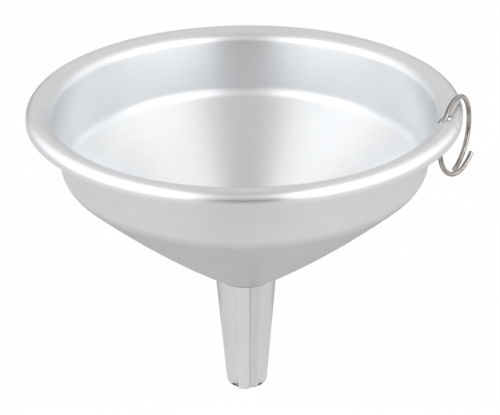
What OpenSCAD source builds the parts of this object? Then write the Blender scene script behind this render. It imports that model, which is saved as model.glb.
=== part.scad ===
// Canning funnel with a wire hanging ring.
// A bowl spun from sheet has a flange and a turned-down lip round its mouth, and a wall, a shoulder
// and a gently swelled cone that run down into a short neck. A tapered spout, rolled from sheet with
// a lap seam down its front, is pushed over that neck. A split ring of wire hangs in a hole in the rim.
//
// Frame: the origin is the centre of the spout's open end, +Z runs up through the mouth, and the
// spout's seam faces -Y.

/* [Bowl] */
// Outside diameter of the rim
rim_d = 133; // [115:1:160]
// Depth from the top of the rim to the cone's underside where the spout meets it
bowl_depth = 61.8; // [50:0.2:80]
// Thickness of the bowl's sheet
bowl_sheet = 0.9; // [0.6:0.1:1.2]
// Outside radius of the turn over the top of the rim
rim_turn_r = 3; // [2:0.1:3.6]
// Depth of the turned-down lip below the top of the rim
lip_depth = 4.1; // [3.8:0.1:6]
// Clear gap between the inside of the lip and the outside of the wall
lip_gap = 6.3; // [5.4:0.1:7.4]
// Slope of the flange, which rises towards the lip, in degrees
flange_slope = 26; // [20:1:34]
// Radius of the middle of the sheet at the bend from the flange into the wall
flange_bend_r = 3.5; // [2.5:0.1:4.2]
// Taper of the wall from the vertical, in degrees
wall_taper = 8.7; // [4:0.1:14]
// Height from the top of the rim down to the corner between wall and cone
wall_h = 21.5; // [16:0.1:30]
// Radius of the middle of the sheet at the shoulder between wall and cone
shoulder_r = 6.7; // [4:0.1:9]
// Swell of the cone outside a straight line
cone_swell = 1.1; // [0.4:0.05:1.6]
// Length of the neck inside the spout
neck_l = 6; // [4:0.5:12]
// Inside radius of the fold from the cone into the neck
neck_fold_r = 0.15; // [0.1:0.05:0.3]

/* [Spout] */
// Outside radius of the spout under the cone
spout_top_r = 9.9; // [9:0.1:14]
// Outside radius of the spout at its open end
spout_tip_r = 6.7; // [5.5:0.1:8.5]
// Length of the spout, from its open end to the cone's underside
spout_l = 40.7; // [25:0.1:80]
// Thickness of the spout's sheet
spout_sheet = 0.8; // [0.6:0.1:1]
// Radius of the rounded edges of the open end
tip_edge_r = 0.3; // [0.1:0.05:0.3]
// Width of the overlap at the seam, in degrees round the spout
lap_angle = 18; // [12:1:30]
// Direction of the overlap's free edge round the spout, in degrees
lap_edge_azimuth = -84.6; // [-120:0.2:-60]
// Radius of the crease where the outer layer of the seam rises over the inner one
crease_r = 2.4; // [1.6:0.1:4]

/* [Hanging ring] */
// Diameter of the ring's wire
wire_d = 1.5; // [1:0.1:2]
// Diameter of the ring, to the middle of its wire
ring_d = 23.6; // [20:0.1:28]
// Place of the ring's lower end, in degrees round the ring
ring_end_angle = -86; // [-110:1:-60]
// Overlap of the ring's two ends, in degrees round the ring
ring_overlap = 41; // [20:1:60]
// Place round the ring from which its two arms open sideways, in degrees
ring_bend_angle = 164; // [150:1:185]
// Sideways opening of each arm, in degrees
ring_opening = 3.4; // [3:0.1:5]
// Place round the ring of the wire that passes the hole, in degrees
ring_hole_angle = 137; // [131:1:143]
// Direction in which the ring stands off from the hole, seen from above, in degrees
ring_heading = 57.2; // [54:0.1:60]
// Lean of the ring's foot away from the bowl, in degrees
ring_lean = 2.2; // [0:0.1:4]
// Direction of the ring's hole round the rim, in degrees
hole_azimuth = -16.4; // [-19:0.1:-14]
// Diameter of the ring's hole
hole_d = 4.6; // [4.6:0.1:4.9]
// Distance from the outside of the rim to the centre of the hole
hole_inset = 4.8; // [4.5:0.1:5.1]

/* [Fits] */
// Clearance between the neck and the spout, and between the spout's top and the cone
neck_fit = 0.05; // [0.03:0.01:0.1]

/* [Hidden] */
$fn = 96;
bend_steps = 10;    // straight runs in a bend of the bowl's section
cone_steps = 16;    // straight runs in the long curve of the cone
cone_curve = 0.9;   // share of the cone that the long curve takes up
edge_steps = 4;     // straight runs in a rounded cut edge
lap_cut = 0.05;     // how far the crease stands above the outer layer before it is cut level
punch_l = 4;        // length of the punch that makes the ring's hole

rim_r = rim_d / 2;
rim_top_z = spout_l + bowl_depth;

// --- curves in a section, where a point is radius, height ---

// Point at a distance and a direction, in degrees, from a centre.
function polar(centre, r, angle) = centre + r * [cos(angle), sin(angle)];

// Unit vector along v, and v turned a quarter turn to the left.
function unit(v) = v / norm(v);
function left(v) = [-v[1], v[0]];

// Turn from direction u to direction v, in degrees, positive to the left.
function turn(u, v) = atan2(u[0] * v[1] - u[1] * v[0], u * v);

// Points of the round bend at corner b of the path a-b-c, which touches both runs.
function bend(a, b, c, r, steps) =
    let (u = unit(b - a),
         swing = turn(u, unit(c - b)),
         side = sign(swing),
         centre = b - u * r * tan(abs(swing) / 2) + left(u) * side * r)
    [for (i = [0:steps]) let (angle = swing * i / steps)
        centre - side * r * (left(u) * cos(angle) - u * sin(angle))];

// A path through corners, each inner one rounded by its own radius in its own number of runs.
function bent_path(corners, radii, steps) =
    let (last = len(corners) - 1)
    concat([corners[0]],
           [for (i = [1:last - 1])
               each bend(corners[i - 1], corners[i], corners[i + 1], radii[i - 1], steps[i - 1])],
           [corners[last]]);

// Direction of a path at point i, halfway between the runs that meet there.
function heading(path, i) =
    let (last = len(path) - 1)
    unit((i > 0 ? unit(path[i] - path[i - 1]) : [0, 0])
         + (i < last ? unit(path[i + 1] - path[i]) : [0, 0]));

// Outline of a sheet of thickness t whose middle follows a path.
function sheet_outline(path, t) =
    let (last = len(path) - 1)
    concat([for (i = [0:last]) path[i] + left(heading(path, i)) * t / 2],
           [for (i = [last:-1:0]) path[i] - left(heading(path, i)) * t / 2]);

// Where the line through p at slope a, in degrees, meets the line through q at slope b.
function crossing(p, a, q, b) =
    let (x = (q[1] - p[1] + p[0] * tan(a) - q[0] * tan(b)) / (tan(a) - tan(b)))
    [x, p[1] + (x - p[0]) * tan(a)];

// --- the bowl's section, along the middle of its sheet ---

lip_foot = [rim_r - bowl_sheet / 2, rim_top_z - lip_depth];
rim_bend_r = rim_turn_r - bowl_sheet / 2;
rim_corner = [lip_foot[0], rim_top_z - rim_turn_r + rim_bend_r * tan((90 + flange_slope) / 2)];

wall_top = [rim_r - bowl_sheet - lip_gap - bowl_sheet / 2 / cos(wall_taper), rim_top_z - lip_depth];
flange_corner = crossing(rim_corner, flange_slope, wall_top, 90 - wall_taper);
shoulder_corner = [wall_top[0] - (wall_h - lip_depth) * tan(wall_taper), rim_top_z - wall_h];

// The cone is one long arc, which swells out of the straight line from the shoulder to the spout.
cone_line = shoulder_corner - [spout_top_r, spout_l];
cone_turn = 2 * atan(4 * cone_swell / norm(cone_line));
neck_slope = atan(cone_line[1] / cone_line[0]) - cone_turn / 2;

spout_taper = atan((spout_top_r - spout_tip_r) / spout_l);
spout_wall = spout_sheet / cos(spout_taper);
neck_r = spout_top_r - spout_wall - neck_fit - bowl_sheet / 2;
neck_corner = [neck_r, spout_l - (spout_top_r - neck_r) * tan(neck_slope)
                       + bowl_sheet / 2 / cos(neck_slope)];
neck_foot = neck_corner - neck_l * [tan(spout_taper), 1];
cone_chord = shoulder_corner - neck_corner;
cone_crown = (shoulder_corner + neck_corner) / 2 - 2 * cone_swell * left(unit(cone_chord));
cone_r = cone_curve * norm(cone_chord) / 2 / tan(cone_turn / 2);

bowl_path = bent_path(
    [lip_foot, rim_corner, flange_corner, shoulder_corner, cone_crown, neck_corner, neck_foot],
    [rim_bend_r, flange_bend_r, shoulder_r, cone_r, neck_fold_r + bowl_sheet / 2],
    [bend_steps, bend_steps, bend_steps, cone_steps, bend_steps]);

// The ring's hole is punched square to the flange, from the middle of its sheet both ways.
hole_r = rim_r - hole_inset;
hole_z = rim_corner[1] - (rim_corner[0] - hole_r) * tan(flange_slope);
hole_centre = concat(polar([0, 0], hole_r, hole_azimuth), [hole_z]);

module bowl() {
    color([0.80, 0.81, 0.82])
    difference() {
        rotate_extrude()
            polygon(sheet_outline(bowl_path, bowl_sheet));
        translate(hole_centre)
            rotate([0, -flange_slope, hole_azimuth])
                cylinder(d = hole_d, h = punch_l, center = true, $fn = 48);
    }
}

// --- the spout ---

// Section of one layer of the spout's sheet. Its outer face lies off from the spout's by a distance,
// its open end is rounded, and its top leans with the cone above it.
module spout_section(off) {
    outer = off / cos(spout_taper);
    inner = outer - spout_wall;
    top_z = spout_l - neck_fit / cos(neck_slope);
    polygon(concat(
        [for (i = [0:edge_steps])
            polar([spout_tip_r + inner + tip_edge_r, tip_edge_r], tip_edge_r, 180 + 90 * i / edge_steps)],
        [for (i = [0:edge_steps])
            polar([spout_tip_r + outer - tip_edge_r, tip_edge_r], tip_edge_r, 270 + 90 * i / edge_steps)],
        [[spout_top_r + outer, top_z + outer * tan(neck_slope)],
         [spout_top_r + inner, top_z + inner * tan(neck_slope)]]));
}

// The crease where the outer layer of the seam rises off the inner one: a long round ridge along
// the spout's face, of which only what stands in the outer layer is kept.
module lap_crease() {
    depth = crease_r - spout_sheet - lap_cut;
    crease_angle = lap_angle / 2;
    intersection() {
        rotate([0, 0, -crease_angle])
            rotate_extrude(angle = 2 * crease_angle)
                spout_section(spout_sheet);
        translate([spout_tip_r - depth / cos(spout_taper), 0, 0])
            rotate([0, spout_taper, 0])
                translate([0, 0, -crease_r])
                    cylinder(r = crease_r, h = spout_l + 3 * crease_r, $fn = 64);
    }
}

module spout() {
    color([0.78, 0.79, 0.80])
    union() {
        rotate_extrude()
            spout_section(0);
        rotate([0, 0, lap_edge_azimuth - lap_angle]) {
            rotate_extrude(angle = lap_angle)
                spout_section(spout_sheet);
            lap_crease();
        }
    }
}

// --- the hanging ring ---

ring_r = ring_d / 2;

// One arm of the ring, from the bend to its end: an arc that starts at the bend and is turned
// sideways about the wire's own direction there.
module ring_arm(start, sweep, opening) {
    rotate([0, opening, 0])
        translate([-ring_r, 0, 0])
            rotate_extrude(angle = sweep, start = start)
                translate([ring_r, 0])
                    circle(d = wire_d, $fn = 32);
}

module hanging_ring() {
    lower_sweep = ring_bend_angle - ring_end_angle;
    upper_sweep = 360 + ring_overlap - lower_sweep;
    color([0.62, 0.60, 0.58])
    translate(hole_centre)
        rotate([0, 0, ring_heading])
            rotate([90 - ring_lean, 0, 0])
                translate(-ring_r * [cos(ring_hole_angle), sin(ring_hole_angle), 0])
                    rotate([0, 0, ring_bend_angle])
                        translate([ring_r, 0, 0])
                            union() {
                                ring_arm(-lower_sweep, lower_sweep, -ring_opening);
                                ring_arm(0, upper_sweep, ring_opening);
                            }
}

bowl();
spout();
hanging_ring();
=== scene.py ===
"""Looks of a canning funnel: a spun bowl, a rolled spout with a lap seam, and a split wire ring.

Every form is a smooth surface worked out from a few sizes in millimetres, and stands in the frame
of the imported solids: the origin at the centre of the spout's open end, +Z up through the mouth,
the seam at -Y.
"""

from __future__ import annotations

import logging
from dataclasses import dataclass, field, replace
from enum import Enum

import bmesh
import bpy
import numpy as np
from mathutils import Matrix


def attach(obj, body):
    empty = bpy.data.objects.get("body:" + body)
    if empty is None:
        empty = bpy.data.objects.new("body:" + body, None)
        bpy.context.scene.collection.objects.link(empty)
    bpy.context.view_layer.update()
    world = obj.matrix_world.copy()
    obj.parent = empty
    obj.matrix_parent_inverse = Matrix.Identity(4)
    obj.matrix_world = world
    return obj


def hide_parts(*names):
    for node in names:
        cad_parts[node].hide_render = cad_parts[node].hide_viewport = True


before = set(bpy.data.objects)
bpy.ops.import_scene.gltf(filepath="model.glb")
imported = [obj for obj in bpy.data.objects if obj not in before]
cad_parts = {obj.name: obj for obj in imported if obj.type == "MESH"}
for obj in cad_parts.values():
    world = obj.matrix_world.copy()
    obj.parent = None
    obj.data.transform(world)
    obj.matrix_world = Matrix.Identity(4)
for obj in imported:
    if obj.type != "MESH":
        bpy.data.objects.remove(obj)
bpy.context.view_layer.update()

LOG = logging.getLogger("funnel")
MM = 0.001
MM_IN_DM = 100
UV_MAP = "surface"
HALF_TURN = 0.5
WHITE = (1.0, 1.0, 1.0, 1.0)
BLACK = (0.0, 0.0, 0.0, 1.0)
Array = np.ndarray
Pair = tuple[float, float]
Triple = tuple[float, float, float]
Node = bpy.types.Node
Socket = bpy.types.NodeSocket
Tree = bpy.types.NodeTree
Material = bpy.types.Material
Thing = bpy.types.Object


class Along(Enum):
    """What a band of painted shade is measured along: the turn round the piece or its section, as
    in the UV.
    """

    TURN = 0
    SECTION = 1


class Arm(Enum):
    """The two arms of the split ring, by the way in which they open sideways."""

    LOWER = -1
    UPPER = 1


# Curves in a section
# -------------------


def unit(v: Array) -> Array:
    """Returns the vectors along the last axis at length one."""
    return v / np.linalg.norm(v, axis=-1, keepdims=True)


def left(v: Array) -> Array:
    """Returns plane vectors turned a quarter turn to the left."""
    return np.stack([-v[..., 1], v[..., 0]], axis=-1)


def turned(v: Array, angle: Array) -> Array:
    """Returns the plane vector v turned to the left by each angle, in radians."""
    angle = np.asarray(angle)[..., None]
    return v * np.cos(angle) + left(v) * np.sin(angle)


def quarter(steps: int) -> Array:
    """Returns the angles of a quarter round in that many equal steps, from 0 up, in radians."""
    return np.linspace(0, np.pi / 2, steps + 1)


def crossing(p: Array, slope_p: float, q: Array, slope_q: float) -> Array:
    """Finds where two straight lines meet.

    Args:
        p: A point of the first line.
        slope_p: Its slope from the horizontal, in degrees.
        q: A point of the second line.
        slope_q: Its slope, in degrees.

    Returns:
        The common point.
    """
    a, b = np.tan(np.radians([slope_p, slope_q]))
    x = (q[1] - p[1] + p[0] * a - q[0] * b) / (a - b)
    return np.array([x, p[1] + (x - p[0]) * a])


def straight(start: Array, end: Array, pitch: float) -> Array:
    """Returns points from start to end, without the start, in equal steps of at most the pitch."""
    steps = max(1, int(np.ceil(np.linalg.norm(end - start) / pitch)))
    return start + np.linspace(0, 1, steps + 1)[1:, None] * (end - start)


def rounded_path(
    corners: list[Array], radii: list[float], steps: tuple[int, ...], pitch: float
) -> tuple[Array, Array]:
    """Runs a path through corners, each inner one rounded by an arc that touches both its runs.

    An arc's points are centre - side * radius * left(direction), where the direction turns evenly
    from one run to the next.

    Args:
        corners: The path's corners, in millimetres.
        radii: The radius at each inner corner.
        steps: The number of steps in each arc.
        pitch: The longest step of a straight run.

    Returns:
        The points and the unit directions of the path there, both of shape (n, 2).
    """
    points, ways = [corners[0][None]], [unit(corners[1] - corners[0])[None]]
    for a, b, c, radius, count in zip(corners, corners[1:], corners[2:], radii, steps):
        u, w = unit(b - a), unit(c - b)
        swing = np.arctan2(u[0] * w[1] - u[1] * w[0], u @ w)
        side = np.sign(swing)
        centre = b - u * radius * np.tan(abs(swing) / 2) + left(u) * side * radius
        way = turned(u, swing * np.linspace(0, 1, count + 1))
        arc = centre - side * radius * left(way)
        run = straight(points[-1][-1], arc[0], pitch)
        points += [run, arc[1:]]
        ways += [np.repeat(u[None], len(run), axis=0), way[1:]]
    run = straight(points[-1][-1], corners[-1], pitch)
    points.append(run)
    ways.append(np.repeat(unit(corners[-1] - corners[-2])[None], len(run), axis=0))
    return np.concatenate(points), np.concatenate(ways)


def cut_end(end: Array, way: Array, half: float, edge: float, steps: int) -> Array:
    """Closes the cut end of a sheet in section by two quarter rounds and a flat between them.

    Args:
        end: The middle of the sheet at its end.
        way: The direction in which the sheet runs out.
        half: Half of the sheet's thickness.
        edge: The radius of the rounded edges.
        steps: The number of steps in each quarter round.

    Returns:
        Points from just past the sheet's left face round to just before its right face.
    """
    t = quarter(steps)[:, None]
    across, forward = half - edge + edge * np.cos(t), edge * (np.sin(t) - 1)
    side = left(way)
    one, other = end + side * across + way * forward, end - side * across + way * forward
    return np.concatenate([one, other[::-1]])[1:-1]


def swept(section: Array, angle: Array) -> Array:
    """Returns the points (r cos a, r sin a, z) of section points (r, z) at angles a."""
    r, z = section[..., 0], section[..., 1]
    return np.stack(np.broadcast_arrays(r * np.cos(angle), r * np.sin(angle), z), axis=-1)


def running_length(line: Array) -> Array:
    """Returns the length of a line up to each of its points, in decimetres."""
    steps = np.linalg.norm(np.diff(line, axis=0, prepend=line[:1]), axis=1)
    return np.cumsum(steps) / MM_IN_DM


# Meshes
# ------


def put_in_scene(name: str, data: bpy.types.ID, place: Matrix | None = None) -> Thing:
    """Makes an object of a mesh, lamp or camera and puts it in the scene.

    Args:
        name: The object's name.
        data: What it shows.
        place: Its placement, where it doesn't stand at the origin.

    Returns:
        The object.
    """
    thing = bpy.data.objects.new(name, data)
    if place is not None:
        thing.matrix_world = place
    bpy.context.scene.collection.objects.link(thing)
    return thing


def border(rows: Array, columns: Array) -> tuple[Array, Array]:
    """Returns the row and the column of each place on a block's border, once round."""
    wide, high = np.ones(len(columns) - 1, int), np.ones(len(rows) - 1, int)
    i = np.concatenate([rows[0] * wide, rows[:-1], rows[-1] * wide, rows[:0:-1]])
    j = np.concatenate([columns[:-1], columns[-1] * high, columns[:0:-1], columns[0] * high])
    return i, j


def cells(numbers: Array, close_rows: bool = False) -> Array:
    """Lists the four-sided faces of a grid whose last column joins its first.

    Args:
        numbers: The number of the vertex at each row and column.
        close_rows: Whether the last row joins the first too.

    Returns:
        Faces of shape (rows of faces, columns of faces, 4).
    """
    below, beside = np.roll(numbers, -1, axis=0), np.roll(numbers, -1, axis=1)
    faces = np.stack([numbers, beside, np.roll(below, -1, axis=1), below], axis=-1)
    return faces if close_rows else faces[:-1]


@dataclass
class Surface:
    """Grids of points in millimetres with their UV, and the four- and three-sided faces on them.

    U is a share of a full turn and V is a length in decimetres, with one value at each vertex.
    """

    points: list[Array] = field(default_factory=list)
    uv: list[Array] = field(default_factory=list)
    faces: list[Array] = field(default_factory=list)
    tips: list[Array] = field(default_factory=lambda: [np.zeros((0, 3), int)])

    def add(self, points: Array, turn: Array | float, length: Array) -> Array:
        """Adds a grid of points.

        Args:
            points: The points, of any shape that ends in 3.
            turn: The share of a turn at each, at each column, or at all of them.
            length: The length in decimetres at each, or at each row as a column of one.

        Returns:
            The numbers of the new vertices, in the grid's shape.
        """
        first = sum(len(part) for part in self.points)
        self.points.append(points.reshape(-1, 3))
        self.uv.append(np.stack(np.broadcast_arrays(turn, length), axis=-1).reshape(-1, 2))
        return first + np.arange(len(self.points[-1])).reshape(points.shape[:-1])

    def join(self, faces: Array) -> None:
        """Adds four-sided faces between the vertices of those numbers."""
        self.faces.append(faces.reshape(-1, 4))

    def make(self, name: str, material: Material) -> Thing:
        """Puts the surface into a smooth mesh with outward faces.

        Vertices that no face uses are left out. A face that spans the end of a turn has its small
        values of U raised by one, so the UV map has no backward face.

        Args:
            name: The piece's name.
            material: The piece's finish.

        Returns:
            The new object, at the origin.
        """
        faces, tips = np.concatenate(self.faces), np.concatenate(self.tips)
        split = faces.size
        used, corners = np.unique(np.append(faces, tips), return_inverse=True)
        faces, tips = corners[:split].reshape(-1, 4), corners[split:].reshape(-1, 3)
        points, uv = np.concatenate(self.points)[used] * MM, np.concatenate(self.uv)[used]
        mesh = bpy.data.meshes.new(name)
        mesh.from_pydata(points.tolist(), [], faces.tolist() + tips.tolist())
        spread = []
        for group in (faces, tips):
            at = uv[group]
            wraps = np.ptp(at[..., 0], axis=1, keepdims=True) > HALF_TURN
            at[..., 0] += wraps & (at[..., 0] < HALF_TURN)
            spread.append(at.ravel())
        layer = mesh.uv_layers.new(name=UV_MAP)
        layer.data.foreach_set("uv", np.concatenate(spread).astype(np.float32))
        mesh.polygons.foreach_set("use_smooth", np.ones(len(mesh.polygons), bool))
        work = bmesh.new()
        work.from_mesh(mesh)
        bmesh.ops.recalc_face_normals(work, faces=work.faces)
        work.to_mesh(mesh)
        work.free()
        mesh.materials.append(material)
        return put_in_scene(name, mesh)


# Shader groups and finishes
# --------------------------


class Nodes:
    """Places and joins the nodes of one tree."""

    def __init__(self, tree: Tree) -> None:
        """Starts on a tree."""
        self.tree = tree

    def add(self, kind: str, inputs: dict | None = None, **settings: object) -> Node:
        """Adds a node.

        Args:
            kind: The node's class name, without its ShaderNode prefix.
            inputs: What each input gets, by its name or number: another node's output, or a value.
            settings: Properties of the node.

        Returns:
            The node.
        """
        node = self.tree.nodes.new("ShaderNode" + kind)
        for key, value in settings.items():
            setattr(node, key, value)
        self.feed(node, inputs or {})
        return node

    def feed(self, node: Node, inputs: dict) -> None:
        """Gives each named or numbered input of a node another node's output, or a value."""
        for key, value in inputs.items():
            if isinstance(value, Socket):
                self.tree.links.new(value, node.inputs[key])
            else:
                node.inputs[key].default_value = value

    def math(self, operation: str, *values: object) -> Socket:
        """Returns the result of a Math node on values or outputs."""
        return self.add("Math", dict(enumerate(values)), operation=operation).outputs[0]

    def mix(self, share: object, first: object, second: object) -> Socket:
        """Returns two colours mixed by a share. The colours are the Mix node's inputs 6 and 7."""
        inputs = {0: share, 6: first, 7: second}
        return self.add("Mix", inputs, data_type="RGBA").outputs[2]

    def split(self, vector: Socket) -> bpy.types.NodeOutputs:
        """Returns the three components of a vector."""
        return self.add("SeparateXYZ", {0: vector}).outputs


def new_material(name: str) -> tuple[Material, Nodes]:
    """Makes a material with its usual nodes, and the helper on its tree."""
    material = bpy.data.materials.new(name)
    material.use_nodes = True
    return material, Nodes(material.node_tree)


def new_group(name: str, inputs: dict[str, tuple], output: str) -> tuple[Nodes, dict, Node]:
    """Makes a shader node group with named sockets.

    Args:
        name: The group's name.
        inputs: The socket type and the default of each input.
        output: The name of the output, which is a plain value.

    Returns:
        The helper on the group's tree, the group's inputs, and the node that takes its output.
    """
    tree = bpy.data.node_groups.new(name, "ShaderNodeTree")
    for key, (kind, default) in inputs.items():
        socket = tree.interface.new_socket(key, in_out="INPUT", socket_type=kind)
        if default is not None:
            socket.default_value = default
    tree.interface.new_socket(output, in_out="OUTPUT", socket_type="NodeSocketFloat")
    return Nodes(tree), tree.nodes.new("NodeGroupInput").outputs, tree.nodes.new("NodeGroupOutput")


def fine_lines_group() -> Tree:
    """Builds the group for the fine lines that a forming tool or a roll leaves on metal.

    The height is noise on a coordinate that changes across the lines only, mixed with the same
    noise ten times as coarse.

    Returns:
        A group with inputs Across and Scale, and the output Height, which lies about zero.
    """
    fine_share, coarse_share, coarseness, middle = 0.6, 0.4, 0.1, 0.5
    sockets = {"Across": ("NodeSocketVector", None), "Scale": ("NodeSocketFloat", 1000.0)}
    nodes, given, leave = new_group("fine lines", sockets, "Height")
    across, scale = given["Across"], given["Scale"]
    sizes = {"Vector": across, "Scale": scale, "Detail": 3.0, "Roughness": 0.6}
    fine = nodes.add("TexNoise", sizes).outputs[0]
    sizes = {"Vector": across, "Scale": nodes.math("MULTIPLY", scale, coarseness), "Detail": 2.0}
    coarse = nodes.add("TexNoise", sizes).outputs[0]
    parts = nodes.math("MULTIPLY", fine, fine_share), nodes.math("MULTIPLY", coarse, coarse_share)
    nodes.feed(leave, {"Height": nodes.math("SUBTRACT", nodes.math("ADD", *parts), middle)})
    return nodes.tree


def handling_group() -> Tree:
    """Builds the group for the soft marks of handling.

    The mark is broad noise held between two soft limits.

    Returns:
        A group with the input Scale and the output Smudge, from 0 to 1.
    """
    nodes, given, leave = new_group("handling", {"Scale": ("NodeSocketFloat", 40.0)}, "Smudge")
    place = nodes.add("TexCoord").outputs["Object"]
    sizes = {"Vector": place, "Scale": given["Scale"], "Detail": 4.0, "Roughness": 0.55}
    cloud = nodes.add("TexNoise", sizes).outputs[0]
    limits = {"Value": cloud, "From Min": 0.40, "From Max": 0.70}
    nodes.feed(leave, {"Smudge": nodes.add("MapRange", limits).outputs[0]})
    return nodes.tree


@dataclass(frozen=True)
class PaintedShadeBand:
    """A darker band of painted shade: it comes in between the first two places and goes between the
    last two.
    """

    along: Along
    places: tuple[float, float, float, float]
    strength: float

    def shade(self, nodes: Nodes, spread: bpy.types.NodeOutputs) -> Socket:
        """Gives how dark the band is, by the smaller of a rising ramp and a falling one.

        Args:
            nodes: The helper of the material's tree.
            spread: The components of the piece's UV.

        Returns:
            The share of black.
        """
        ends = ((self.places[:2], 0.0, self.strength), (self.places[2:], self.strength, 0.0))
        ramps = []
        for (low, high), start, end in ends:
            where = {"Value": spread[self.along.value], "From Min": low, "From Max": high}
            ramps.append(nodes.add("MapRange", where | {"To Min": start, "To Max": end}).outputs[0])
        return nodes.math("MINIMUM", *ramps)


@dataclass(frozen=True)
class MetalFinish:
    """A bright metal with fine lines, soft marks and bands of painted shade.

    Relief is in millimetres. Scales are per metre, and for lines along a piece per unit of its UV
    after the lengthwise stretch. The plain share, the marks' share and the lines' tone say how far
    the colour goes toward the dull one.
    """

    name: str
    colour: Triple
    dull_colour: Triple
    roughness: float
    dull_roughness: float
    line_scale: float
    line_relief: float
    line_roughness: float
    line_tone: float
    mark_scale: float
    lines_round_axis: bool = False
    stretch: float = 0.0
    stretch_turn: float = 0.25
    plain_share: float = 0.3
    mark_share: float = 0.4
    lengthwise: Triple = (0.05, 0.0008, 1.0)
    painted_shade_bands: tuple[PaintedShadeBand, ...] = ()

    def across(self, nodes: Nodes) -> Socket:
        """Gives the coordinate that changes across the lines.

        Lines round the axis read the distance from Z and the height. Lines along a sheet or a wire
        read U, and V so slightly that they are long but have ends.

        Args:
            nodes: The helper of the material's tree.

        Returns:
            The coordinate.
        """
        if self.lines_round_axis:
            place = nodes.split(nodes.add("TexCoord").outputs["Object"])
            squares = [nodes.math("POWER", nodes.math("ABSOLUTE", place[n]), 2.0) for n in (0, 1)]
            radius = nodes.math("SQRT", nodes.math("ADD", *squares))
            return nodes.add("CombineXYZ", {"X": radius, "Y": place[2]}).outputs[0]
        place = nodes.add("UVMap", uv_map=UV_MAP).outputs[0]
        return nodes.add("Mapping", {"Vector": place, "Scale": self.lengthwise}).outputs[0]

    def build(self, lines: Tree, handling: Tree) -> Material:
        """Builds the material.

        Args:
            lines: The fine lines group.
            handling: The handling group.

        Returns:
            The material.
        """
        material, nodes = new_material(self.name)
        given = {"Across": self.across(nodes), "Scale": self.line_scale}
        grain = nodes.add("Group", given, node_tree=lines).outputs[0]
        mark = nodes.add("Group", {"Scale": self.mark_scale}, node_tree=handling).outputs[0]
        grainy = nodes.math("MULTIPLY_ADD", grain, self.line_roughness, self.roughness)
        more = self.dull_roughness - self.roughness
        dullness = nodes.math("MULTIPLY_ADD", mark, self.mark_share, self.plain_share)
        shade = nodes.math("MULTIPLY_ADD", grain, self.line_tone, dullness)
        colour = nodes.mix(shade, (*self.colour, 1.0), (*self.dull_colour, 1.0))
        spread = nodes.split(nodes.add("UVMap", uv_map=UV_MAP).outputs[0])
        # Each band of painted shade mixes the colour toward black.
        for shade_band in self.painted_shade_bands:
            colour = nodes.mix(shade_band.shade(nodes, spread), colour, BLACK)
        bump = nodes.add("Bump", {"Height": grain, "Distance": self.line_relief * MM})
        tangent = nodes.add("Tangent", direction_type="UV_MAP", uv_map=UV_MAP)
        looks = {
            "Base Color": colour,
            "Metallic": 1.0,
            "Roughness": nodes.math("MULTIPLY_ADD", mark, more, grainy),
            "Anisotropic": self.stretch,
            "Anisotropic Rotation": self.stretch_turn,
            "Normal": bump.outputs[0],
            "Tangent": tangent.outputs[0],
        }
        nodes.feed(nodes.tree.nodes["Principled BSDF"], looks)
        return material


SPUN_ALUMINIUM = MetalFinish(
    name="spun_aluminium",
    colour=(0.83, 0.84, 0.85),
    dull_colour=(0.76, 0.77, 0.78),
    roughness=0.35,
    dull_roughness=0.38,
    line_scale=1400.0,
    line_relief=0.005,
    line_roughness=0.15,
    line_tone=1.0,
    mark_scale=45.0,
    lines_round_axis=True,
    stretch=0.55,
    painted_shade_bands=(
        # Painted shade: the outside from the shoulder down to the neck, darkened as by the shadowed
        # floor it reflects.
        PaintedShadeBand(Along.SECTION, (0.255, 0.300, 0.905, 0.920), 0.20),
        # Painted shade: a deeper band just above the neck, where the spout shades the cone.
        PaintedShadeBand(Along.SECTION, (0.840, 0.898, 0.905, 0.920), 0.15),
    ),
)
ROLLED_ALUMINIUM = MetalFinish(
    name="rolled_aluminium",
    colour=(0.90, 0.90, 0.90),
    dull_colour=(0.80, 0.80, 0.79),
    roughness=0.28,
    dull_roughness=0.33,
    line_scale=3600.0,
    line_relief=0.003,
    line_roughness=0.10,
    line_tone=2.0,
    mark_scale=90.0,
    painted_shade_bands=(
        # Painted shade: a soft band beside the lap's cut edge, where the lap shades the sheet below
        # it.
        PaintedShadeBand(Along.TURN, (-0.2, -0.1, 0.050, 0.075), 0.11),
        # Painted shadow: a thin dark line in the crack under the lap's cut edge.
        PaintedShadeBand(Along.TURN, (-0.2, -0.1, 0.002, 0.014), 0.18),
    ),
)
NICKEL_WIRE = MetalFinish(
    name="nickel_wire",
    colour=(0.60, 0.57, 0.55),
    # The near-black dull colour and the strong line tone make light and dark streaks along the
    # wire: drawing marks, with painted highlights and painted dark reflections in their contrast.
    dull_colour=(0.10, 0.085, 0.08),
    roughness=0.06,
    dull_roughness=0.14,
    line_scale=180.0,
    line_relief=0.002,
    line_roughness=0.04,
    line_tone=5.0,
    mark_scale=300.0,
)


# The funnel's parts
# ------------------


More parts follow.
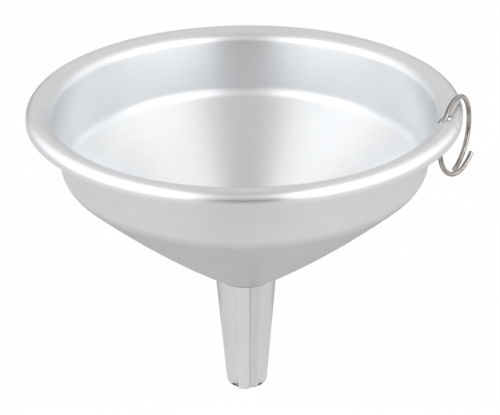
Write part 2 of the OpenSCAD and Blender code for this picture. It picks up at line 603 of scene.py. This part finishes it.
@dataclass
class Bowl:
    """The spun bowl: lip, rim, flange, wall, shoulder, swelled cone and neck, and the hole.

    Sizes are in millimetres and angles in degrees, here and in the other pieces.
    """

    top: float = 102.5
    rim_r: float = 66.5
    sheet: float = 0.9
    rim_turn_r: float = 3.0
    lip_depth: float = 4.1
    lip_gap: float = 6.3
    flange_slope: float = 26.0
    flange_bend_r: float = 3.5
    wall_taper: float = 8.7
    wall_h: float = 21.5
    shoulder_r: float = 6.7
    cone_swell: float = 1.1
    cone_curve: float = 0.9
    neck_l: float = 6.0
    neck_fold_r: float = 0.15
    neck_fit: float = 0.05
    spout_top_r: float = 9.9
    spout_tip_r: float = 6.7
    spout_l: float = 40.7
    spout_sheet: float = 0.8
    cut_edge: float = 0.2
    hole_azimuth: float = -16.4
    hole_r: float = 2.3
    hole_inset: float = 4.8
    hole_edges: Pair = (0.15, 0.04)
    pitch: float = 1.35
    columns: int = 360
    bend_steps: tuple[int, ...] = (22, 12, 14, 24, 8)
    edge_steps: int = 4
    hole_columns: int = 4
    hole_rings: int = 5
    hole_reach: float = 1.4
    hole_rows: int = 2
    hole_u_shrink: float = 50.0
    circle_rounds: int = 6

    def __post_init__(self) -> None:
        """Works out the corners of the section, along the middle of the sheet.

        The straight lines of the flange and the wall meet at their bend. The tangents at the ends
        of the swelled cone meet at the crown, twice the swell above the middle of its chord. The
        neck lies inside the spout's wall, and its bend puts the cone's outside on the spout's top.
        """
        half = self.sheet / 2
        taper = np.radians(self.wall_taper)
        lip_foot = np.array([self.rim_r - half, self.top - self.lip_depth])
        self.rim_bend_r = self.rim_turn_r - half
        rise = self.rim_bend_r * np.tan(np.radians((90 + self.flange_slope) / 2))
        rim = np.array([lip_foot[0], self.top - self.rim_turn_r + rise])
        wall_top = lip_foot - [half + self.lip_gap + half / np.cos(taper), 0]
        flange = crossing(rim, self.flange_slope, wall_top, 90 - self.wall_taper)
        wall_run = self.wall_h - self.lip_depth
        shoulder = wall_top - wall_run * np.array([np.tan(taper), 1])
        line = shoulder - [self.spout_top_r, self.spout_l]
        bow = 2 * np.arctan(4 * self.cone_swell / np.linalg.norm(line))
        self.neck_slope = slope = np.arctan2(line[1], line[0]) - bow / 2
        lean = (self.spout_top_r - self.spout_tip_r) / self.spout_l
        outer = self.spout_top_r - self.spout_sheet * np.hypot(1, lean)
        neck_r = outer - self.neck_fit - half
        drop = (self.spout_top_r - neck_r) * np.tan(slope) - half / np.cos(slope)
        neck = np.array([neck_r, self.spout_l - drop])
        chord = shoulder - neck
        crown = (shoulder + neck) / 2 - 2 * self.cone_swell * left(unit(chord))
        self.cone_r = self.cone_curve * np.linalg.norm(chord) / 2 / np.tan(bow / 2)
        neck_foot = neck - self.neck_l * np.array([lean, 1])
        self.corners = [lip_foot, rim, flange, shoulder, crown, neck, neck_foot]
        hole_r = self.rim_r - self.hole_inset
        fall = (rim[0] - hole_r) * np.tan(np.radians(self.flange_slope))
        self.hole = np.array([hole_r, rim[1] - fall])

    def outline(self) -> tuple[Array, Array, Array, Array]:
        """Works out the section's outline.

        The middle of the sheet is a rounded path. Each face lies half a thickness to one side of
        it, and stops short of both cut ends by the radius of their edges.

        Returns:
            The outside face and the inside face, both from the lip's foot to the neck's, the neck's
            cut end from the outside face to the inside one, and the lip's from the inside one back.
        """
        half, edge, steps = self.sheet / 2, self.cut_edge, self.edge_steps
        neck_bend_r = self.neck_fold_r + half
        radii = [self.rim_bend_r, self.flange_bend_r, self.shoulder_r, self.cone_r, neck_bend_r]
        middle, way = rounded_path(self.corners, radii, self.bend_steps, self.pitch)
        neck_end = cut_end(middle[-1], way[-1], half, edge, steps)
        lip_end = cut_end(middle[0], -way[0], half, edge, steps)
        middle[0] += way[0] * edge
        middle[-1] -= way[-1] * edge
        return middle + left(way) * half, middle - left(way) * half, neck_end, lip_end

    def hole_frame(self) -> tuple[Array, Array]:
        """Finds the place and the directions of the ring's hole.

        Returns:
            The hole's centre in the middle of the sheet, and the unit directions outward along the
            flange, round the rim, and square to the flange, as the rows of a matrix.
        """
        a, s = np.radians([self.hole_azimuth, self.flange_slope])
        outward, round_rim = np.array([[np.cos(a), np.sin(a), 0], [-np.sin(a), np.cos(a), 0]])
        up = np.array([0, 0, 1])
        along, square = outward * np.cos(s) + up * np.sin(s), up * np.cos(s) - outward * np.sin(s)
        return self.hole[0] * outward + self.hole[1] * up, np.stack([along, round_rim, square])

    def along_flange(self, points: Array) -> Array:
        """Returns how far section points lie outward of the hole's centre, along the flange."""
        s = np.radians(self.flange_slope)
        return (points - self.hole) @ [np.cos(s), np.sin(s)]

    def circle_on(self, face: Array, reach: float, alpha: Array) -> tuple[Array, Array]:
        """Finds where a circle round the hole's axis lies on one face of the sheet.

        A point of the face at angle phi from the hole lies r sin(phi) round the rim and
        (r cos(phi) - hole r) cos(slope) + (z - hole z) sin(slope) outward along the flange. The
        second falls steadily from the top of the rim inward, so interpolation in it gives the row.
        The angle and the row are found by turns.

        Args:
            face: The face in section, from the lip's foot.
            reach: The circle's radius.
            alpha: Directions of the wanted points round the hole, in radians.

        Returns:
            The row of each point, with its fraction, and the angle phi.
        """
        along = self.along_flange(face)
        first = int(np.argmax(along))
        rows = np.arange(first, len(face))
        phi, r = np.zeros_like(alpha), self.hole[0]
        for _ in range(self.circle_rounds):
            sag = r * (1 - np.cos(phi)) * np.cos(np.radians(self.flange_slope))
            row = np.interp(-(reach * np.cos(alpha) + sag), -along[first:], rows)
            r = np.interp(row, np.arange(len(face)), face[:, 0])
            phi = np.arcsin(reach * np.sin(alpha) / r)
        return row, phi

    def block(self, faces: tuple[Array, Array]) -> tuple[Array, Array]:
        """Finds the block of the grid that is left out round the ring's hole, on either face.

        Args:
            faces: The outside face and the inside face in section.

        Returns:
            The rows of points in the block and its columns, with those on its border.
        """
        along = [self.along_flange(face) for face in faces]
        top = min(int(np.argmax(part)) for part in along) - self.hole_rows
        beyond = np.all([part < -self.hole_reach * self.hole_r for part in along], axis=0)
        foot = int(np.argmax(beyond & (np.arange(len(beyond)) > top)))
        sideways = np.arange(-self.hole_columns, self.hole_columns + 1)
        return np.arange(top, foot + 1), self.columns // 2 + sideways

    def hole_wall(self, alpha: Array, upper: Array, lower: Array) -> Array:
        """Works out the hole's wall, whose upper and lower edges are quarter rounds.

        Args:
            alpha: Directions round the hole, in radians.
            upper: The height of the upper face of the sheet there, from the hole's centre.
            lower: The height of the lower face there.

        Returns:
            Points of shape (rows, directions, 3), from just under the upper face downward.
        """
        e, f = self.hole_edges
        centre, axes = self.hole_frame()
        t = quarter(self.edge_steps)[1:, None]
        side = np.sign(upper - lower).mean()
        shrink, drop = 1 - np.sin(t), 1 - np.cos(t)
        reach = np.concatenate([self.hole_r + e * shrink, self.hole_r + f * shrink[::-1]])
        level = np.concatenate([upper - side * e * drop, lower + side * f * drop[::-1]])
        ways = np.cos(alpha)[:, None] * axes[0] + np.sin(alpha)[:, None] * axes[1]
        return centre + reach[..., None] * ways + level[..., None] * axes[2]

    def surface(self) -> Surface:
        """Builds the bowl's surface.

        The outline is turned about Z. Round the ring's hole a block of faces is left out on both
        sides of the sheet. Rings of faces lead from the block's border to a circle on each side,
        and a wall with rounded edges joins the two circles through the sheet.

        Returns:
            The closed surface.
        """
        outside, inside, neck_end, lip_end = self.outline()
        section = np.concatenate([outside, neck_end, inside[::-1], lip_end])
        length = running_length(section)
        turn = np.arange(self.columns) / self.columns
        start = np.radians(self.hole_azimuth) - np.pi
        skin = Surface()
        points = swept(section[:, None], start + 2 * np.pi * turn)
        numbers = skin.add(points, turn, length[:, None])

        rows, columns = self.block((outside, inside))
        back = len(outside) + len(neck_end) + len(inside) - 1
        faces = cells(numbers, close_rows=True)
        kept = np.ones(faces.shape[:2], bool)
        for low in (rows[0], back - rows[-1]):
            kept[low : low + len(rows) - 1, columns[0] : columns[-1]] = False
        skin.join(faces[kept])

        i, j = border(rows, columns)
        centre, axes = self.hole_frame()
        middle = swept((outside + inside)[i] / 2, start + 2 * np.pi * j / self.columns)
        spot = (middle - centre) @ axes.T
        alpha = np.arctan2(spot[:, 1], spot[:, 0])
        border_phi = 2 * np.pi * (j / self.columns - HALF_TURN)
        share = np.linspace(0, 1, self.hole_rings + 1)[:-1, None]
        rims, heights = [], []
        for face, edge, flip in zip((outside, inside), self.hole_edges, (False, True)):
            row, phi = self.circle_on(face, self.hole_r + edge, alpha)
            at, phis = row + share * (i - row), phi + share * (border_phi - phi)
            place = [np.interp(at, np.arange(len(face)), face[:, n]) for n in (0, 1)]
            ring = swept(np.stack(place, axis=-1), phis + np.radians(self.hole_azimuth))
            v = np.interp(back - at if flip else at, np.arange(len(section)), length)
            index = skin.add(ring, HALF_TURN + phis / (2 * np.pi), v)
            outer = numbers[back - i if flip else i, j]
            skin.join(cells(np.concatenate([index, outer[None]])))
            rims.append(index[:1])
            heights.append(((ring[0] - centre) @ axes.T)[:, 2])
        wall = self.hole_wall(alpha, *heights)
        index = skin.add(wall, HALF_TURN + alpha / self.hole_u_shrink, np.zeros((len(wall), 1)))
        skin.join(cells(np.concatenate([rims[0], index, rims[1]])))
        return skin

    def build(self, finish: Material) -> Thing:
        """Makes the bowl, dresses it and sets it on the funnel's body in place of its solid."""
        piece = self.surface().make("bowl_sheet", finish)
        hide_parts("bowl")
        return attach(piece, "funnel")


@dataclass
class Spout:
    """The tapered spout of rolled sheet, whose outer layer rises over the inner to a cut edge.

    The neck's slope, in radians, is that of the cone just above the spout.
    """

    top_r: float = 9.9
    tip_r: float = 6.7
    length: float = 40.7
    sheet: float = 0.8
    tip_edge: float = 0.3
    top_edge: float = 0.12
    top_gap: float = 0.05
    neck_slope: float = 0.67
    lap_angle: float = 18.0
    lap_azimuth: float = -84.6
    lap_edge: float = 0.12
    crease_r: float = 2.4
    crease_cut: float = 0.05
    crease_foot: float = 0.10
    crease_from: float = 46.0
    crease_past: float = 3.0
    crease_reach: float = 60.0
    crack: float = 0.06
    crack_width: float = 1.1
    crack_rise: float = 0.4
    fall_angles: tuple[float, ...] = (0.06, 0.12, 0.18, 0.3, 0.6)
    fall_lifts: tuple[float, ...] = (0.45, 0.22, 0.0)
    far_columns: int = 78
    crease_columns: int = 50
    lap_columns: int = 10
    lap_steps: int = 4
    edge_steps: int = 5
    rows: int = 25
    row_gather: float = 1.2

    def columns(self) -> tuple[Array, Array]:
        """Lists the directions round the spout, and the lift of the lap's edge where they cross it.

        Returns:
            Angles in degrees from just past the lap's edge once round to the crack under it, and
            the lift there, which is not a number where the crease gives it.
        """
        edge = self.lap_azimuth + 360
        t = quarter(self.lap_steps)
        corner = np.degrees(self.lap_edge / self.tip_r)
        foot, past = edge - self.crease_from, edge - self.lap_angle + self.crease_past
        far = np.linspace(self.lap_azimuth + self.crack_width, foot, self.far_columns)
        crease = np.linspace(foot, past, self.crease_columns)[1:]
        lap = np.linspace(past, edge - corner, self.lap_columns)[1:-1]
        turn = edge - corner * (1 - np.sin(t))
        turn_lift = self.sheet - self.lap_edge * (1 - np.cos(t))
        fall = edge + np.array(self.fall_angles)
        fall_lift = np.array([*self.fall_lifts, -self.crack, -self.crack * self.crack_rise])
        free = np.concatenate([far, crease, lap])
        angles = np.concatenate([free, turn, fall])
        return angles, np.concatenate([free * np.nan, turn_lift, fall_lift])

    def lift(self, angle: Array, r: Array) -> Array:
        """Works out how far the outer face stands off the plain cone.

        The crease is a round ridge of its own radius c about a line that lies a from Z, on the
        seam's side: its distance from Z is a cos(d) + sqrt(c^2 - a^2 sin(d)^2), where d is the
        angle from the crease. It is held at the sheet's thickness, and its foot is softened.

        Args:
            angle: Directions round the spout, in degrees.
            r: The plain cone's radius.

        Returns:
            The lift in millimetres.
        """
        crease = self.lap_azimuth + 360 - self.lap_angle
        d = np.radians(np.minimum(angle - crease, 0))
        a = r - (self.crease_r - self.sheet - self.crease_cut)
        inside = self.crease_r**2 - (a * np.sin(d)) ** 2
        ridge = a * np.cos(d) + np.sqrt(np.maximum(inside, 0)) - r
        ridge = np.where(d > np.radians(-self.crease_reach), ridge, -r)
        soft = (ridge + np.sqrt(ridge**2 + self.crease_foot**2)) / 2
        return np.minimum(soft, self.sheet)

    def surface(self) -> Surface:
        """Builds the spout's surface.

        A row's radius is the plain cone's, which grows evenly with height, plus its share of the
        lift, plus the row's own offset: none outside, the thickness inwards inside, and two quarter
        rounds and a flat between them at either end. Heights stretch so that the top follows the
        cone above it.

        Returns:
            The closed surface.
        """
        angle, edge_lift = self.columns()
        wall = self.sheet * np.hypot(1, (self.top_r - self.tip_r) / self.length)
        e, g, t = self.tip_edge, self.top_edge, quarter(self.edge_steps)
        shrink, drop = 1 - np.sin(t), 1 - np.cos(t)
        z_up = np.linspace(0, 1, self.rows) ** self.row_gather * (self.length - e - g) + e
        z_top = self.length - g * shrink[1:]
        rows = [
            (z_up[::-1], 1, 0),
            (e * shrink[1:], 1, -e * drop[1:]),
            (e * shrink[::-1], 0, -wall + e * drop[::-1]),
            (z_up[1:], 0, -wall),
            (z_top, 0, -wall + g * drop[1:]),
            (z_top[::-1], 1, -g * drop[:0:-1]),
        ]
        parts = np.concatenate([np.broadcast_arrays(*row) for row in rows], axis=1)
        z, share, offset = parts[..., None]
        plain = self.tip_r + (self.top_r - self.tip_r) * z / self.length
        lift = np.where(np.isnan(edge_lift), self.lift(angle, plain), edge_lift)
        out = share * lift + offset
        slope = self.neck_slope
        top = self.length - self.top_gap / np.cos(slope) + out * np.tan(slope)
        section = np.stack([plain + out, z * top / self.length], axis=-1)
        skin = Surface()
        turn = (angle - angle[0]) / 360
        length = running_length(section[:, 0])
        numbers = skin.add(swept(section, np.radians(angle)), turn, length[:, None])
        skin.join(cells(numbers, close_rows=True))
        return skin

    def build(self, finish: Material) -> Thing:
        """Makes the spout, dresses it and sets it on the funnel's body in place of its solid."""
        piece = self.surface().make("spout_sheet", finish)
        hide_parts("spout")
        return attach(piece, "funnel")


@dataclass
class HangingRing:
    """The split ring of round wire, whose arms open to both sides of the hole and overlap."""

    wire_r: float = 0.75
    ring_r: float = 11.8
    end_angle: float = -86.0
    overlap: float = 41.0
    bend_angle: float = 164.0
    opening: float = 3.4
    hole_angle: float = 137.0
    heading: float = 57.2
    lean: float = 2.2
    end_edge: float = 0.14
    edge_steps: int = 4
    sides: int = 28
    rows: int = 260

    def turn(self, axis: int, degrees: float) -> Array:
        """Returns the matrix of a turn about the axis of that number."""
        c, s = np.cos(np.radians(degrees)), np.sin(np.radians(degrees))
        a, b = (axis + 1) % 3, (axis + 2) % 3
        matrix = np.eye(3)
        matrix[[a, a, b, b], [a, b, a, b]] = [c, -s, s, c]
        return matrix

    def surface(self, hole: Array) -> Surface:
        """Builds the ring's surface.

        Both arms are arcs that start at the bend and are turned sideways about the wire's own
        direction there. A circle of the wire's radius is carried along them. At each cut end it
        shrinks over a small round, and a fan of faces closes it.

        Args:
            hole: The hole's centre, which the wire passes through.

        Returns:
            The closed surface.
        """
        lower = self.bend_angle - self.end_angle
        phi = np.radians(np.linspace(-lower, 360 + self.overlap - lower, self.rows))
        radial = np.stack([np.cos(phi), np.sin(phi), phi * 0], axis=-1)
        side = np.zeros_like(radial) + [0, 0, 1]
        along = np.stack([-np.sin(phi), np.cos(phi), phi * 0], axis=-1)
        line = self.ring_r * (radial - [1, 0, 0])
        low, high = (self.turn(1, arm.value * self.opening).T for arm in (Arm.LOWER, Arm.UPPER))
        below = phi[:, None] < 0
        opened = [np.where(below, v @ low, v @ high) for v in (line, radial, side, along)]
        at = np.radians(self.hole_angle)
        to_hole = self.ring_r * np.array([np.cos(at), np.sin(at), 0])
        spin = self.turn(2, self.bend_angle).T
        stand = (self.turn(2, self.heading) @ self.turn(0, 90 - self.lean)).T
        line = hole + ((opened[0] + [self.ring_r, 0, 0]) @ spin - to_hole) @ stand
        return self.tube(line, *(v @ spin @ stand for v in opened[1:]))

    def tube(self, line: Array, radial: Array, side: Array, along: Array) -> Surface:
        """Carries the wire's circle along a line, and closes both ends by a small round and a fan.

        Args:
            line: Points of the wire's middle.
            radial: One unit direction square to the wire at each point.
            side: The other one.
            along: The wire's own direction.

        Returns:
            The closed surface.
        """
        t = quarter(self.edge_steps)
        shrink, slide = self.end_edge * (1 - np.sin(t)), self.end_edge * (1 - np.cos(t))
        body = np.zeros(len(line) - 2)
        times = np.ones(len(line), int)
        times[[0, -1]] = len(t)
        order = np.repeat(np.arange(len(line)), times)
        reach = self.wire_r - np.concatenate([shrink, body, shrink[::-1]])[:, None, None]
        shift = np.concatenate([slide, body, -slide[::-1]])[:, None]
        turn = np.arange(self.sides) / self.sides
        c, s = np.cos(2 * np.pi * turn)[:, None], np.sin(2 * np.pi * turn)[:, None]
        centre = line[order] + along[order] * shift
        circle = c * radial[order][:, None] + s * side[order][:, None]
        length = running_length(centre)
        skin = Surface()
        numbers = skin.add(centre[:, None] + reach * circle, turn, length[:, None])
        ends = skin.add(line[[0, -1]], HALF_TURN, length[[0, -1]])
        skin.join(cells(numbers))
        for row, end in zip(numbers[[0, -1]], ends):
            skin.tips.append(np.stack([row, np.roll(row, -1), np.full(self.sides, end)], axis=-1))
        return skin

    def build(self, hole: Array, finish: Material) -> Thing:
        """Makes the ring, dresses it and sets it on its own body in place of its solid."""
        piece = self.surface(hole).make("ring_wire_loop", finish)
        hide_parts("hanging_ring")
        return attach(piece, "ring")


# The studio
# ----------


def rectangle(
    name: str, size: Pair, height: float, material: Material, place: Matrix | None = None
) -> Thing:
    """Makes a flat rectangle and puts it in the scene.

    Args:
        name: The object's name.
        size: Its width and depth in metres.
        height: How high it lies in its own frame.
        material: Its material.
        place: Its placement, where it doesn't stand at the origin.

    Returns:
        The object.
    """
    x, y = size[0] / 2, size[1] / 2
    mesh = bpy.data.meshes.new(name)
    corners = [(-x, -y, height), (x, -y, height), (x, y, height), (-x, y, height)]
    mesh.from_pydata(corners, [], [(0, 1, 2, 3)])
    mesh.materials.append(material)
    return put_in_scene(name, mesh, place)


@dataclass(frozen=True)
class Panel:
    """A flat lamp or card: its centre and aim in metres, its size, and its level or brightness."""

    name: str
    centre: Triple
    aim: Triple
    size: Pair
    level: float

    def place(self) -> Matrix:
        """Returns the placement at the centre whose -Z runs to the aim."""
        steep = 0.99
        back = unit(np.array(self.centre) - self.aim)
        across = unit(np.cross([0, 1, 0] if abs(back[2]) > steep else [0, 0, 1], back))
        turn = np.stack([across, np.cross(back, across), back], axis=1)
        return Matrix.Translation(self.centre) @ Matrix(turn.tolist()).to_4x4()

    def mirrored(self, side: int) -> Panel:
        """Returns the panel itself for side 1, and its mirror image across x = 0 for side -1."""
        name = f"{self.name}_{'right' if side > 0 else 'left'}"
        return replace(self, name=name, centre=(side * self.centre[0], *self.centre[1:]))

    def lamp(self, tint: Triple) -> None:
        """Makes the panel a soft tinted lamp whose face has the panel's level, where 1 is white."""
        light = bpy.data.lights.new(self.name, "AREA")
        light.shape = "RECTANGLE"
        light.color = tint
        light.size, light.size_y = self.size
        light.energy = self.level * np.pi * self.size[0] * self.size[1]
        put_in_scene(self.name, light, self.place())

    def card(self) -> None:
        """Makes the panel a plain card of even brightness that only reflections show."""
        material, nodes = new_material(self.name)
        glow = nodes.add("Emission", {"Color": (self.level, self.level, self.level, 1.0)})
        nodes.feed(nodes.tree.nodes["Material Output"], {"Surface": glow.outputs[0]})
        card = rectangle(self.name, self.size, 0.0, material, self.place())
        card.visible_camera = card.visible_diffuse = card.visible_shadow = False


@dataclass
class Studio:
    """A pale floor that runs into a white background, soft lamps, grey cards, two dark cards on the
    floor that paint the funnel's shadow into reflections, and the camera.
    """

    eye: Triple = (0.0, -0.39960, 0.26861)
    forward: Triple = (0.003344, 0.890468, -0.455034)
    roll: float = 0.476
    lens: float = 101.625
    sensor: float = 36.0
    near: float = 0.01
    floor_size: Pair = (6.0, 6.0)
    floor_height: float = -0.0004
    floor_colour: Triple = (0.88, 0.87, 0.85)
    floor_white_seen: float = 0.98
    floor_white_mirrored: float = 0.20
    room_level: float = 0.55
    light_tint: Triple = (0.95, 0.975, 1.0)
    lamps: tuple[Panel, ...] = (
        Panel("softbox", (0.530, -0.315, 0.540), (0.099, 0.102, 0.540), (0.87, 1.00), 0.75),
        Panel("side_softbox", (0.721, 0.207, 0.477), (0.0, 0.0, 0.477), (0.47, 0.87), 0.28),
    )
    cards: tuple[Panel, ...] = (
        Panel("card_camera", (0.0, -0.45, 0.12), (0.0, 0.0, 0.12), (0.30, 0.20), 0.05),
        Panel("card_front", (0.0, -1.15, 1.10), (0.0, 0.0, 0.10), (0.80, 1.50), 0.75),
        Panel("card_above", (0.0, -0.425, 1.30), (0.0, -0.425, 0.0), (0.95, 0.55), 0.46),
        Panel("card_back_above", (0.0, 0.575, 1.30), (0.0, 0.575, 0.0), (1.60, 1.45), 0.74),
        Panel("card_back", (0.0, 1.30, 0.85), (0.0, 0.0, 0.85), (2.50, 1.30), 0.74),
        Panel("card_low_back", (0.0, 1.30, 0.10), (0.0, 0.0, 0.10), (2.20, 0.19), 0.10),
        # Painted shadow: a dark card on the floor under and behind the funnel, seen only in
        # reflections, stands in for its shadow there.
        Panel("painted_shadow_card_behind", (0.0, 0.080, -0.0003), (0.0, 0.080, -1.0), (0.190, 0.100), 0.48),
        # Painted shadow: a small dark card under the spout's tip, seen only in reflections, stands
        # in for its contact shadow.
        Panel("painted_shadow_card_foot", (0.0, 0.0, -0.0002), (0.0, 0.0, -1.0), (0.0117, 0.0117), 0.03),
    )

    def white_share(self, nodes: Nodes, seen: float, mirrored: float) -> Socket:
        """Gives how much of a ray's light comes from the plain white background.

        Args:
            nodes: The helper of the tree.
            seen: The share where the background shows directly.
            mirrored: The share where it shows in metal and glass.

        Returns:
            The share, which is 0 for the rays that light matt surfaces.
        """
        rays = nodes.add("LightPath").outputs
        shiny = nodes.math("MAXIMUM", rays["Is Glossy Ray"], rays["Is Transmission Ray"])
        shiny_share = nodes.math("MULTIPLY", shiny, mirrored)
        return nodes.math("MULTIPLY_ADD", rays["Is Camera Ray"], seen, shiny_share)

    def build_world(self) -> None:
        """Makes the world white where it shows, and dimmer where it lights matt surfaces."""
        world = bpy.data.worlds.new("room")
        world.use_nodes = True
        nodes = Nodes(world.node_tree)
        share = self.white_share(nodes, 1.0, 1.0)
        level = nodes.math("MULTIPLY_ADD", share, 1.0 - self.room_level, self.room_level)
        nodes.feed(nodes.tree.nodes["Background"], {"Color": WHITE, "Strength": level})
        bpy.context.scene.world = world

    def build_floor(self) -> None:
        """Makes the floor: matt and pale, with a large share of plain white where it shows."""
        material, nodes = new_material("pale floor")
        matt = nodes.add("BsdfDiffuse", {"Color": (*self.floor_colour, 1.0)})
        white = nodes.add("Emission", {"Strength": 1.0})
        share = self.white_share(nodes, self.floor_white_seen, self.floor_white_mirrored)
        mix = nodes.add("MixShader", {0: share, 1: matt.outputs[0], 2: white.outputs[0]})
        nodes.feed(nodes.tree.nodes["Material Output"], {"Surface": mix.outputs[0]})
        floor = rectangle("floor", self.floor_size, self.floor_height, material)

    def build_camera(self) -> None:
        """Places the camera with its small roll about the line of sight."""
        ahead = unit(np.array(self.forward))
        right = unit(np.cross(ahead, [0, 0, 1]))
        up = np.cross(right, ahead)
        c, s = np.cos(np.radians(self.roll)), np.sin(np.radians(self.roll))
        turn = np.stack([c * right - s * up, s * right + c * up, -ahead], axis=1)
        data = bpy.data.cameras.new("camera")
        data.lens = self.lens
        data.sensor_width = self.sensor
        data.clip_start = self.near
        place = Matrix.Translation(self.eye) @ Matrix(turn.tolist()).to_4x4()
        bpy.context.scene.camera = put_in_scene("camera", data, place)

    def build(self) -> None:
        """Builds the whole studio and sets the plain view transform."""
        self.build_world()
        self.build_floor()
        for panel in self.lamps:
            for side in (1, -1):
                panel.mirrored(side).lamp(self.light_tint)
        for panel in self.cards:
            panel.card()
        self.build_camera()
        bpy.context.scene.view_settings.view_transform = "Standard"


def report(piece: Thing) -> None:
    """Reports a finished piece."""
    LOG.info("%s: %d faces, %s", piece.name, len(piece.data.polygons), piece.data.materials[0].name)


def main() -> None:
    """Builds the studio and the funnel's parts in order."""
    logging.basicConfig(level=logging.INFO, format="%(name)s: %(message)s")
    Studio().build()
    lines, handling = fine_lines_group(), handling_group()
    bowl = Bowl()
    hole, _ = bowl.hole_frame()
    report(bowl.build(SPUN_ALUMINIUM.build(lines, handling)))
    report(Spout(neck_slope=bowl.neck_slope).build(ROLLED_ALUMINIUM.build(lines, handling)))
    report(HangingRing().build(hole, NICKEL_WIRE.build(lines, handling)))


if __name__ == "__main__":
    main()
